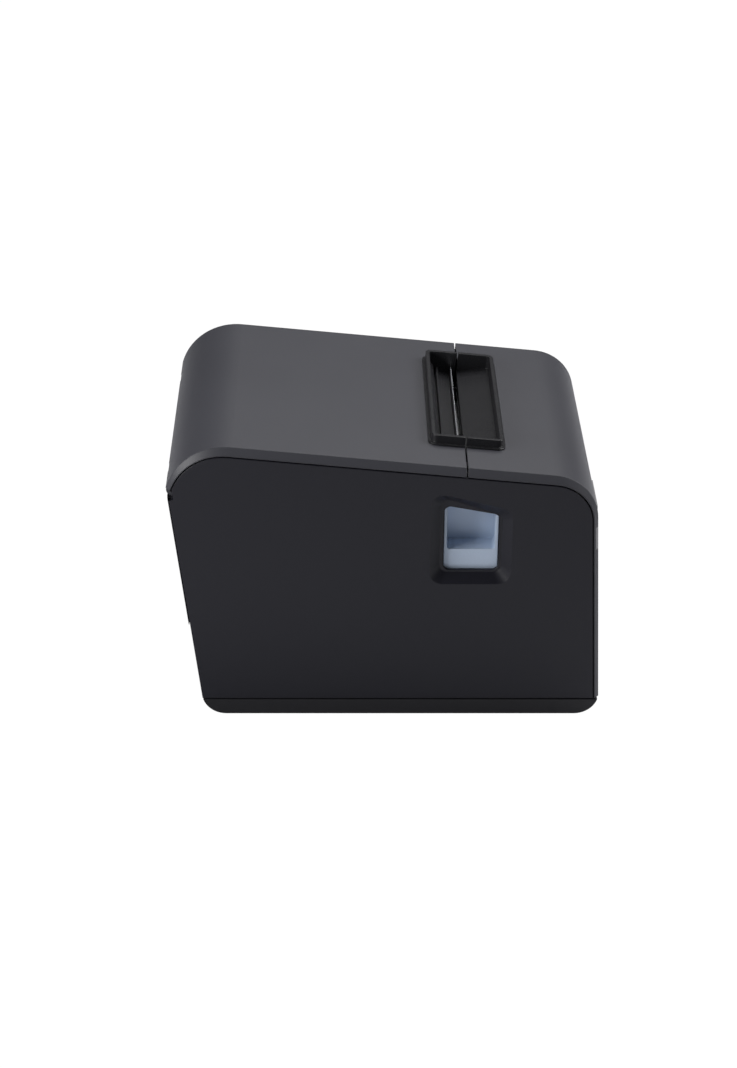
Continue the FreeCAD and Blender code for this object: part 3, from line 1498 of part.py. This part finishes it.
def power_switch():
    half_y = d.switch_width / 2
    half_z = d.rocker_half + d.socket_wall * 2
    place = d.switch_place
    case = block("switch_shell", (socket_face, bay_front + d.socket_depth),
                 (place - half_y, place + half_y),
                 (rocker_z - half_z, rocker_z + half_z))
    bezel = block("switch_bezel", (socket_face, bay_front),
                  (place - half_y - d.socket_wall, place + half_y + d.socket_wall),
                  (rocker_z - half_z - d.socket_wall, rocker_z + half_z + d.socket_wall))
    well = block("switch_well", (socket_face, rocker_x + d.rocker_half),
                 (place - half_y + d.socket_wall, place + half_y - d.socket_wall),
                 (rocker_z - half_z + d.socket_wall, rocker_z + half_z - d.socket_wall))
    axle_bore = rod("axle_bore", "Y", (rocker_x, rocker_z), (place - half_y, place + half_y),
                    d.socket_wall + d.pin_running)
    node(cut("switch_box", join("switch_blank", case, bezel), well, axle_bore), "switch_body")
    inner_y = (place - half_y + d.socket_wall + d.clearance, place + half_y - d.socket_wall - d.clearance)
    front = rocker_x - d.rocker_depth
    paddle = profile("paddle", "XZ_Plane", [
        (rocker_x + d.rocker_half / 2, rocker_z - d.rocker_half / 2, None),
        (rocker_x + d.rocker_half / 2, rocker_z + d.rocker_half / 2, None),
        (front, rocker_z + d.rocker_half, None),
        (front, rocker_z, None),
        (front - d.rocker_half * rocker_lean, rocker_z - d.rocker_half, None),
    ], inner_y)
    axle = rod("axle", "Y", (rocker_x, rocker_z), (place - half_y, place + half_y), d.socket_wall)
    node(join("rocker", paddle, axle), "power_rocker")
    return block("switch_opening", (bay_front, bay_front + d.plate_wall),
                 (place - half_y - d.clearance / 2, place + half_y + d.clearance / 2),
                 (rocker_z - half_z - d.clearance / 2, rocker_z + half_z + d.clearance / 2))


def build():
    base_tray()
    rubber_feet()
    side_panel(1, "left_side_panel")
    side_panel(-1, "right_side_panel")
    front_cover()
    feed_button()
    control_board()
    rear_panel()
    hinge_pins()
    paper_cover()
    exit_trim_front()
    exit_trim_rear()
    tear_bar()
    platen_holder()
    platen_bushings()
    platen()
    gear_train()
    mechanism_frame()
    thermal_head()
    fixed_blade()
    moving_blade()
    cutter_drive()
    chassis()
    release_lever()
    lever_spring()
    lid_latch()
    electronics()


build()
doc.recompute()
for item in doc.Objects:
    if "Invalid" in item.State or "Error" in item.State:
        raise SystemExit(f"{item.Name} failed: {item.State}")
for item in nodes:
    if item.Shape.isNull() or not item.Shape.isValid():
        raise SystemExit(f"{item.Label} has no valid shape")
os.makedirs("parts", exist_ok=True)
for item in nodes:
    item.Shape.exportStep(f"parts/{item.Label}.step")
    print(item.Label, len(item.Shape.Solids), round(item.Shape.Volume, 1))
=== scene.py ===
import bpy
import math
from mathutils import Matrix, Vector


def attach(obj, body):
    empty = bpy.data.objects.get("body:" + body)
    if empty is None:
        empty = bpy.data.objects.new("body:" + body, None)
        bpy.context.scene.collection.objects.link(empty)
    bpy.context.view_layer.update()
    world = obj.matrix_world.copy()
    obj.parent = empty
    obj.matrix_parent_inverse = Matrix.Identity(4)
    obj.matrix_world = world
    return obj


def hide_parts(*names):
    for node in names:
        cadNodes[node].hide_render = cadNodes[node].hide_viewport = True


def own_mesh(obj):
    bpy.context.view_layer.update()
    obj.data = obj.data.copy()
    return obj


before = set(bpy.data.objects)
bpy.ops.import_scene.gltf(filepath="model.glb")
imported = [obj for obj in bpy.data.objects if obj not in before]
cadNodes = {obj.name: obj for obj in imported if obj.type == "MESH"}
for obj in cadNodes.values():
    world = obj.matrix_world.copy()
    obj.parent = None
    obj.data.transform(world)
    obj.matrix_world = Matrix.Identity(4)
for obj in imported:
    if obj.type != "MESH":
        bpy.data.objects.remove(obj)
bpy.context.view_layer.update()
print("frame loaded:", len(cadNodes), "nodes")

black = (0.0, 0.0, 0.0, 1.0)
white = (1.0, 1.0, 1.0, 1.0)
noiseMean = 0.5


class Wire:
    # A shader socket that takes part in plain arithmetic
    def __init__(self, owner, socket):
        self.owner = owner
        self.socket = socket

    def maths(self, operation, first, second):
        return self.owner.node("ShaderNodeMath", {"operation": operation}, {0: first, 1: second})

    def __add__(self, other):
        return self.maths("ADD", self, other)

    def __radd__(self, other):
        return self.maths("ADD", other, self)

    def __sub__(self, other):
        return self.maths("SUBTRACT", self, other)

    def __rsub__(self, other):
        return self.maths("SUBTRACT", other, self)

    def __mul__(self, other):
        return self.maths("MULTIPLY", self, other)

    def __rmul__(self, other):
        return self.maths("MULTIPLY", other, self)


class NodeTree:
    # Makes and joins the nodes of one material, or of the sky
    def __init__(self, tree):
        self.tree = tree

    def feed(self, target, sockets):
        for name, value in sockets.items():
            if isinstance(value, Wire):
                self.tree.links.new(value.socket, target.inputs[name])
            else:
                target.inputs[name].default_value = value

    def node(self, kind, settings, sockets, output=0):
        made = self.tree.nodes.new(kind)
        for name, value in settings.items():
            setattr(made, name, value)
        self.feed(made, sockets)
        return Wire(self, made.outputs[output])


class Paint(NodeTree):
    # One material: a principled shader, and the nodes that feed it
    def __init__(self, name, fixed):
        self.material = bpy.data.materials.new(name)
        self.material.use_nodes = True
        super().__init__(self.material.node_tree)
        self.tree.nodes.clear()
        self.shader = self.tree.nodes.new("ShaderNodeBsdfPrincipled")
        self.feed(self.shader, fixed)
        out = self.tree.nodes.new("ShaderNodeOutputMaterial")
        self.tree.links.new(self.shader.outputs[0], out.inputs["Surface"])
        self.place = self.node("ShaderNodeTexCoord", {}, {}, "Object")

    def set(self, **sockets):
        self.feed(self.shader, {name.replace("_", " "): value for name, value in sockets.items()})

    def stretch(self, factors):
        return self.node("ShaderNodeVectorMath", {"operation": "MULTIPLY"}, {0: self.place, 1: factors})

    def noise(self, scale, detail, place=None):
        return self.node("ShaderNodeTexNoise", {},
                         {"Vector": place or self.place, "Scale": scale, "Detail": detail})

    def blend(self, share, first, second):
        return self.node("ShaderNodeMix", {"data_type": "RGBA"}, {0: share, 6: first, 7: second}, 2)

    def ramp(self, value, low, high):
        return self.node("ShaderNodeMapRange", {"interpolation_type": "SMOOTHSTEP"},
                         {"Value": value, "From Min": low, "From Max": high})

    def rounded(self, radius):
        return self.node("ShaderNodeBevel", {"samples": 4}, {"Radius": radius})

    def bump(self, height, distance, strength, under=None):
        sockets = {"Height": height, "Distance": distance, "Strength": strength}
        if under:
            sockets["Normal"] = under
        return self.node("ShaderNodeBump", {}, sockets)


def shade(tone, factor):
    return (tone[0] * factor, tone[1] * factor, tone[2] * factor, 1.0)


def dress(piece, paint):
    for name in piece["nodes"]:
        item = cadNodes[name]
        item.data.materials.clear()
        item.data.materials.append(paint.material)


# Grained moulding: broad flow marks in the tone, fine spark-eroded grain in the relief
moulding = {
    "ior": 1.46,
    "flow": 22.0,
    "flowDetail": 3.0,
    "flowSheen": 0.08,
    "grainDetail": 2.0,
    "grainSheen": 0.06,
    "dark": 0.94,
    "pale": 1.06,
    "speckFrom": 0.35,
    "speckTo": 0.7,
    "speckShare": 0.25,
    "speckTone": 1.18,
    "relief": 0.5,
}


def mouldedPlastic(name, piece):
    look = {**moulding, **piece}
    paint = Paint(name, {"IOR": look["ior"]})
    flow = paint.noise(look["flow"], look["flowDetail"])
    grain = paint.noise(look["grain"], look["grainDetail"])
    tone = paint.blend(flow, shade(look["tone"], look["dark"]), shade(look["tone"], look["pale"]))
    speck = paint.ramp(grain, look["speckFrom"], look["speckTo"]) * look["speckShare"]
    flowSheen = (flow - noiseMean) * look["flowSheen"]
    grainSheen = (grain - noiseMean) * look["grainSheen"]
    paint.set(Base_Color=paint.blend(speck, tone, shade(look["tone"], look["speckTone"])),
              Roughness=look["roughness"] + flowSheen + grainSheen,
              Normal=paint.bump(grain, look["depth"], look["relief"], paint.rounded(look["edge"])))
    return paint


# Metal with fine lines along one direction and faint cloudy stains
rolling = {
    "lineDetail": 3.0,
    "lineSheen": 0.18,
    "cloud": 60.0,
    "cloudDetail": 4.0,
    "cloudSheen": 0.1,
    "dark": 0.82,
    "pale": 1.1,
    "stainFrom": 0.45,
    "stainTo": 0.8,
    "stainShare": 0.3,
    "stainTone": 0.7,
    "dullFrom": 0.62,
    "dullTo": 0.85,
    "dullShare": 0.25,
    "depth": 0.00002,
    "relief": 0.4,
}


def rolledSteel(name, piece):
    look = {**rolling, **piece}
    paint = Paint(name, {})
    lines = paint.noise(1.0, look["lineDetail"], paint.stretch(look["lines"]))
    cloud = paint.noise(look["cloud"], look["cloudDetail"])
    tone = paint.blend(lines, shade(look["tone"], look["dark"]), shade(look["tone"], look["pale"]))
    stain = paint.ramp(cloud, look["stainFrom"], look["stainTo"]) * look["stainShare"]
    lineSheen = (lines - noiseMean) * look["lineSheen"]
    cloudSheen = (cloud - noiseMean) * look["cloudSheen"]
    paint.set(Base_Color=paint.blend(stain, tone, shade(look["tone"], look["stainTone"])),
              Metallic=1.0 - paint.ramp(cloud, look["dullFrom"], look["dullTo"]) * look["dullShare"],
              Roughness=look["roughness"] + lineSheen + cloudSheen,
              Normal=paint.bump(lines, look["depth"], look["relief"], paint.rounded(look["edge"])))
    return paint


# Dull skin with pores and a little pale bloom
curing = {
    "ior": 1.5,
    "bloom": 90.0,
    "bloomDetail": 4.0,
    "bloomFrom": 0.4,
    "bloomTo": 0.8,
    "bloomTone": 1.8,
    "bloomSheen": 0.16,
    "roughness": 0.72,
    "poreFrom": 0.1,
    "poreTo": 0.6,
    "depth": 0.00006,
    "relief": 0.5,
}


def rubberSkin(name, piece):
    look = {**curing, **piece}
    paint = Paint(name, {"IOR": look["ior"]})
    pores = paint.node("ShaderNodeTexVoronoi", {"feature": "F1"},
                       {"Vector": paint.place, "Scale": look["pores"]})
    bloom = paint.noise(look["bloom"], look["bloomDetail"])
    share = paint.ramp(bloom, look["bloomFrom"], look["bloomTo"])
    pits = paint.ramp(pores, look["poreFrom"], look["poreTo"])
    paint.set(Base_Color=paint.blend(share, shade(look["tone"], 1.0), shade(look["tone"], look["bloomTone"])),
              Roughness=look["roughness"] + (bloom - noiseMean) * look["bloomSheen"],
              Normal=paint.bump(pits, look["depth"], look["relief"], paint.rounded(look["edge"])))
    return paint


# Lid, front cover and rear panel
topShell = {
    "nodes": ["paper_cover", "front_cover", "rear_panel"],
    "tone": (0.045, 0.0455, 0.0545),
    "grain": 2600.0,
    "depth": 0.00005,
    "roughness": 0.46,
    "edge": 0.0006,
}
dress(topShell, mouldedPlastic("topShell", topShell))

# Side panels, painted darker than the covers: the darker tone is painted shade on the sides
sideShellPaintedShade = {
    "nodes": ["left_side_panel", "right_side_panel"],
    "tone": (0.0105, 0.0105, 0.0165),
    "grain": 2600.0,
    "depth": 0.00005,
    "roughness": 0.40,
    "edge": 0.0006,
    "ior": 1.40,
}
dress(sideShellPaintedShade, mouldedPlastic("sideShellPaintedShade", sideShellPaintedShade))

# Base tray
baseShell = {
    "nodes": ["base_tray"],
    "tone": (0.0085, 0.0085, 0.0115),
    "grain": 2300.0,
    "depth": 0.00006,
    "roughness": 0.5,
    "edge": 0.0008,
}
dress(baseShell, mouldedPlastic("baseShell", baseShell))

# Exit ring, in two halves
exitTrim = {
    "nodes": ["exit_trim_front", "exit_trim_rear"],
    "tone": (0.020, 0.020, 0.0225),
    "grain": 3200.0,
    "depth": 0.00003,
    "roughness": 0.28,
    "edge": 0.0007,
}
dress(exitTrim, mouldedPlastic("exitTrim", exitTrim))

# Grey strip across the front, and the button in it
greyTrim = {
    "nodes": ["front_strip", "feed_button"],
    "tone": (0.22, 0.22, 0.23),
    "grain": 3000.0,
    "depth": 0.00003,
    "roughness": 0.42,
    "edge": 0.0005,
}
dress(greyTrim, mouldedPlastic("greyTrim", greyTrim))

# Release lever
leverLook = {
    "nodes": ["release_lever"],
    "tone": (0.53, 0.63, 0.78),
    "grain": 2800.0,
    "depth": 0.00003,
    "roughness": 0.4,
    "edge": 0.0006,
}
dress(leverLook, mouldedPlastic("leverLook", leverLook))

# Black inner mouldings
innerLook = {
    "nodes": ["chassis", "platen_holder", "switch_body", "paper_sensor", "lid_switch", "feed_switch",
              "drawer_jack", "dc_jack"],
    "tone": (0.020, 0.020, 0.021),
    "grain": 1900.0,
    "depth": 0.00008,
    "roughness": 0.56,
    "edge": 0.0004,
    "flow": 14.0,
}
dress(innerLook, mouldedPlastic("innerLook", innerLook))

# Power rocker, smoother than the case
rockerLook = {
    "nodes": ["power_rocker"],
    "tone": (0.014, 0.014, 0.015),
    "grain": 3600.0,
    "depth": 0.00001,
    "roughness": 0.28,
    "edge": 0.0006,
}
dress(rockerLook, mouldedPlastic("rockerLook", rockerLook))

# Natural nylon of the gears and bushings
gearLook = {
    "nodes": ["platen_gear", "idler_gear", "motor_pinion", "cutter_pinion", "platen_bushings"],
    "tone": (0.66, 0.64, 0.58),
    "grain": 1500.0,
    "depth": 0.00002,
    "roughness": 0.44,
    "edge": 0.0002,
    "flow": 60.0,
}
dress(gearLook, mouldedPlastic("gearLook", gearLook))

# Glazed strip of the print head
ceramicLook = {
    "nodes": ["head_ceramic"],
    "tone": (0.52, 0.47, 0.39),
    "grain": 5200.0,
    "depth": 0.000005,
    "roughness": 0.16,
    "edge": 0.0002,
    "flow": 120.0,
}
dress(ceramicLook, mouldedPlastic("ceramicLook", ceramicLook))
print("plastics done")

# Sheet steel with the lines running across the machine
sheetSteel = {
    "nodes": ["tear_bar", "fixed_blade", "moving_blade", "mechanism_frame", "cutter_bed", "head_spring",
              "lid_latch", "connector_plate", "lan_socket", "usb_socket"],
    "tone": (0.34, 0.35, 0.37),
    "lines": (1800.0, 30.0, 1800.0),
    "roughness": 0.34,
    "edge": 0.0002,
}
dress(sheetSteel, rolledSteel("sheetSteel", sheetSteel))

# Turned steel, with the tool marks round each axle
turnedSteel = {
    "nodes": ["platen_shaft", "hinge_pins", "head_pivot_shaft", "idler_stud", "latch_stud"],
    "tone": (0.60, 0.60, 0.61),
    "lines": (60.0, 3200.0, 60.0),
    "roughness": 0.26,
    "edge": 0.0003,
}
dress(turnedSteel, rolledSteel("turnedSteel", turnedSteel))

# Zinc-plated motor cans and the coil under the lever
platedSteel = {
    "nodes": ["feed_motor", "cutter_motor", "lever_spring"],
    "tone": (0.50, 0.51, 0.50),
    "lines": (400.0, 400.0, 400.0),
    "roughness": 0.38,
    "edge": 0.0004,
}
dress(platedSteel, rolledSteel("platedSteel", platedSteel))

# Extruded aluminium behind the print head
sinkLook = {
    "nodes": ["head_heatsink"],
    "tone": (0.74, 0.74, 0.75),
    "lines": (2400.0, 20.0, 2400.0),
    "roughness": 0.42,
    "edge": 0.0003,
}
dress(sinkLook, rolledSteel("sinkLook", sinkLook))
print("metals done")

# Feet and the platen's covering
footLook = {"nodes": ["rubber_feet"], "tone": (0.018, 0.018, 0.018), "pores": 900.0, "edge": 0.0008}
dress(footLook, rubberSkin("footLook", footLook))
platenLook = {"nodes": ["platen_rubber"], "tone": (0.030, 0.030, 0.032), "pores": 2600.0, "edge": 0.0004}
dress(platenLook, rubberSkin("platenLook", platenLook))

# Boards: green mask over copper runs
boardLook = {
    "nodes": ["main_board", "control_board"],
    "mask": (0.012, 0.075, 0.032),
    "run": (0.030, 0.150, 0.062),
    "ior": 1.5,
    "runs": 260.0,
    "runGap": 0.06,
    "runSoft": 0.1,
    "runLayout": {"offset": 0.37, "squash": 1.6, "squash_frequency": 3},
    "cloud": 240.0,
    "cloudDetail": 3.0,
    "cloudSheen": 0.2,
    "coverFrom": 0.35,
    "coverTo": 0.6,
    "roughness": 0.34,
    "depth": 0.00005,
    "relief": 0.6,
}


def solderMask(name, piece):
    paint = Paint(name, {"IOR": piece["ior"]})
    runs = paint.node("ShaderNodeTexBrick", piece["runLayout"],
                      {"Vector": paint.place, "Scale": piece["runs"], "Mortar Size": piece["runGap"],
                       "Mortar Smooth": piece["runSoft"]}, "Fac")
    cloud = paint.noise(piece["cloud"], piece["cloudDetail"])
    covered = runs * paint.ramp(cloud, piece["coverFrom"], piece["coverTo"])
    paint.set(Base_Color=paint.blend(covered, shade(piece["mask"], 1.0), shade(piece["run"], 1.0)),
              Roughness=piece["roughness"] + (cloud - noiseMean) * piece["cloudSheen"],
              Normal=paint.bump(covered, piece["depth"], piece["relief"]))
    return paint


dress(boardLook, solderMask("boardLook", boardLook))

# Light pipes of the three lamps
lensLook = {
    "nodes": ["led_lenses"],
    "tone": (0.55, 0.72, 0.60),
    "ior": 1.49,
    "clear": 0.5,
    "haze": 700.0,
    "hazeDetail": 3.0,
    "hazeSheen": 0.12,
    "dark": 0.9,
    "pale": 1.1,
    "roughness": 0.16,
    "depth": 0.00002,
    "relief": 0.3,
    "edge": 0.0005,
}


def clearLens(name, piece):
    paint = Paint(name, {"IOR": piece["ior"], "Transmission Weight": piece["clear"]})
    haze = paint.noise(piece["haze"], piece["hazeDetail"])
    tone = paint.blend(haze, shade(piece["tone"], piece["dark"]), shade(piece["tone"], piece["pale"]))
    paint.set(Base_Color=tone,
              Roughness=piece["roughness"] + (haze - noiseMean) * piece["hazeSheen"],
              Normal=paint.bump(haze, piece["depth"], piece["relief"], paint.rounded(piece["edge"])))
    return paint


dress(lensLook, clearLens("lensLook", lensLook))
print("rubber, boards and lenses done")

# Cross-head screws up in the four recesses under the tray
screwLook = {
    "nodes": [],
    "tone": (0.30, 0.30, 0.31),
    "lines": (900.0, 900.0, 900.0),
    "roughness": 0.36,
    "edge": 0.0002,
    "places": [(-0.043, -0.049), (-0.043, 0.049), (0.055, -0.049), (0.055, 0.049)],
    "radius": 0.0028,
    "thick": 0.0018,
    "seat": 0.006,
    "slotLong": 0.0015,
    "slotHalf": 0.0004,
    "steps": 32,
}


def screwHead(name, place, piece, paint):
    curve = bpy.data.curves.new(name, "CURVE")
    curve.dimensions = "2D"
    curve.fill_mode = "BOTH"
    curve.extrude = piece["thick"] / 4
    far, near = piece["slotLong"], piece["slotHalf"]
    steps = piece["steps"]
    turns = [2 * math.pi * step / steps for step in range(steps)]
    rim = [(piece["radius"] * math.cos(turn), piece["radius"] * math.sin(turn)) for turn in turns]
    cross = [(far, near), (near, near), (near, far), (-near, far), (-near, near), (-far, near),
             (-far, -near), (-near, -near), (-near, -far), (near, -far), (near, -near), (far, -near)]
    for points in (rim, cross):
        spline = curve.splines.new("POLY")
        spline.points.add(len(points) - 1)
        for spot, (x, y) in zip(spline.points, points):
            spot.co = (x, y, 0.0, 1.0)
        spline.use_cyclic_u = True
    shaper = bpy.data.objects.new(name + "Shaper", curve)
    mesh = bpy.data.meshes.new_from_object(shaper)
    bpy.data.objects.remove(shaper)
    half = piece["thick"] / 2
    low, high = piece["seat"] - half, piece["seat"]
    for spot in mesh.vertices:
        spot.co.z += low - half / 2
    ring = [(x, y, level) for level in (low, high) for x, y in rim]
    back = bpy.data.meshes.new(name + "Back")
    sides = [(step, (step + 1) % steps, steps + (step + 1) % steps, steps + step) for step in range(steps)]
    back.from_pydata(ring, [], sides + [tuple(range(steps))[::-1], tuple(range(steps, 2 * steps))])
    for part, data in (("Face", mesh), ("Body", back)):
        data.materials.clear()
        data.materials.append(paint.material)
        item = bpy.data.objects.new(name + part, data)
        item.location = (place[0], place[1], 0.0)
        bpy.context.scene.collection.objects.link(item)
        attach(item, "housing")


screwPaint = rolledSteel("screwLook", screwLook)
for number, place in enumerate(screwLook["places"], start=1):
    screwHead(f"screw{number}", place, screwLook, screwPaint)
print("screws done")

# Springs: stand-in copies of the lever's and the print head's springs, fixed to the housing, with the spring
# parts hidden
springs = [
    {"node": "lever_spring", "joint": "lever_press", "axis": (0.0, 0.0, 1.0), "anchor": (0.0, 0.0, 0.058),
     "keep": 0.71},
    {"node": "head_spring", "joint": "head_tilt", "axis": (1.0, 0.0, 0.0), "anchor": (0.0441, 0.0, 0.0),
     "keep": 0.88},
]


def makeSpring(spring):
    solid = cadNodes[spring["node"]]
    item = bpy.data.objects.new(spring["node"] + "Wire", solid.data.copy())
    item.matrix_world = solid.matrix_world
    bpy.context.scene.collection.objects.link(item)
    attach(item, "housing")
    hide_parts(spring["node"])
    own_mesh(item)


for spring in springs:
    makeSpring(spring)
print("springs done")


# Floor: pale, and plain white to the eye
floorLook = {
    "half": 6.0,
    "tone": (0.60, 0.60, 0.62),
    "grain": 40.0,
    "grainDetail": 3.0,
    "dark": 0.98,
    "pale": 1.02,
    "roughness": 0.9,
}


def makeFloor(piece):
    half = piece["half"]
    corners = [(-half, -half, 0), (half, -half, 0), (half, half, 0), (-half, half, 0)]
    mesh = bpy.data.meshes.new("floor")
    mesh.from_pydata(corners, [], [(0, 1, 2, 3)])
    floor = bpy.data.objects.new("floor", mesh)
    bpy.context.scene.collection.objects.link(floor)
    paint = Paint("floorLook", {"Roughness": piece["roughness"], "Emission Strength": 1.0})
    seen = paint.node("ShaderNodeLightPath", {}, {}, "Is Camera Ray")
    grain = paint.noise(piece["grain"], piece["grainDetail"])
    tone = paint.blend(grain, shade(piece["tone"], piece["dark"]), shade(piece["tone"], piece["pale"]))
    paint.set(Base_Color=paint.blend(seen, tone, black),
              Emission_Color=paint.blend(seen, black, white))
    mesh.materials.append(paint.material)


makeFloor(floorLook)

# Soft boxes: one overhead, one at the front, one beside the camera
lamps = [
    {"name": "overhead", "at": (0.3, 0.6, 1.4), "to": (0.0, 0.0, 0.1), "size": 1.0, "watts": 15.6},
    {"name": "frontBox", "at": (1.6, 0.2, 1.2), "to": (0.0, 0.0, 0.1), "size": 0.9, "watts": 22.0},
    {"name": "sideBox", "at": (-0.62, -0.34, 0.42), "to": (-0.1, -0.07, 0.08), "size": 0.4, "watts": 4.1},
]


def makeLamp(lamp):
    light = bpy.data.lights.new(lamp["name"], "AREA")
    light.shape = "SQUARE"
    light.size = lamp["size"]
    light.energy = lamp["watts"]
    item = bpy.data.objects.new(lamp["name"], light)
    item.location = lamp["at"]
    item.rotation_euler = (Vector(lamp["to"]) - Vector(lamp["at"])).to_track_quat("-Z", "Y").to_euler()
    bpy.context.scene.collection.objects.link(item)


for lamp in lamps:
    makeLamp(lamp)


# Sky: dim to the printer, and plain white to the eye
skyLook = {"glow": 0.09}


def makeSky(piece):
    world = bpy.data.worlds.new("studio")
    bpy.context.scene.world = world
    world.use_nodes = True
    sky = NodeTree(world.node_tree)
    seen = sky.node("ShaderNodeLightPath", {}, {}, "Is Camera Ray")
    sky.feed(world.node_tree.nodes["Background"],
             {"Color": white, "Strength": piece["glow"] + seen * (1.0 - piece["glow"])})


makeSky(skyLook)
print("stage and light done")

# Camera, solved from the edges of the case in the picture
cameraFacts = {"at": (-0.0222, -1.0187, 0.6099), "tilt": 61.6, "lens": 81.29, "sensor": 36.0, "shift": 0.0286}
lensData = bpy.data.cameras.new("camera")
lensData.lens = cameraFacts["lens"]
lensData.sensor_width = cameraFacts["sensor"]
lensData.shift_x = cameraFacts["shift"]
camera = bpy.data.objects.new("camera", lensData)
camera.location = cameraFacts["at"]
camera.rotation_euler = (math.radians(cameraFacts["tilt"]), 0.0, 0.0)
bpy.context.scene.collection.objects.link(camera)
bpy.context.scene.camera = camera
bpy.context.scene.view_settings.view_transform = "Standard"
print("camera done")
